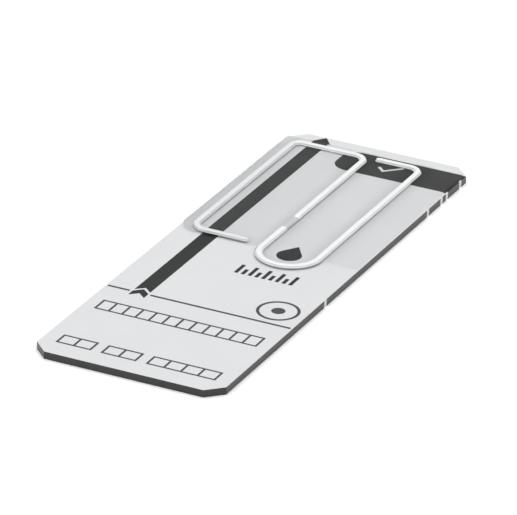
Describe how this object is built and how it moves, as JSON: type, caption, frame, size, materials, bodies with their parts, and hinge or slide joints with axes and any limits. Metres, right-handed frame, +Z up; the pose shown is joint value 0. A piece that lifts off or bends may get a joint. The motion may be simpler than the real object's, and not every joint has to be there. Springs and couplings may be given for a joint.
{
  "type": "microscope slide",
  "caption": "Flat moulded slide with clipped corners, a bonded cover whose raised rim bounds a thin counting chamber, an insertion arrow and plain printed marks.",
  "frame": {"origin": "middle of the plate's underside", "axes": "+X across the slide, +Y along it from the writing end to the band end, +Z up out of the printed face"},
  "size_m": [0.026, 0.076, 0.0016],
  "materials": {
    "plate_plastic": "satin moulded, pale grey, with smoky dark side walls",
    "cover_plastic": "smooth moulded, slightly darker than the plate",
    "black_ink": "pad-printed, satin",
    "grey_ink": "pad-printed, satin"
  },
  "bodies": {
    "root": {"base_plate": "plate_plastic", "chamber_cover": "cover_plastic", "insertion_arrow": "black_ink", "end_band": "black_ink", "drop_mark": "black_ink", "fill_scale": "black_ink", "ring_mark": "grey_ink", "divider_line": "grey_ink", "sample_boxes": "grey_ink", "date_boxes": "grey_ink"}
  },
  "joints": []
}
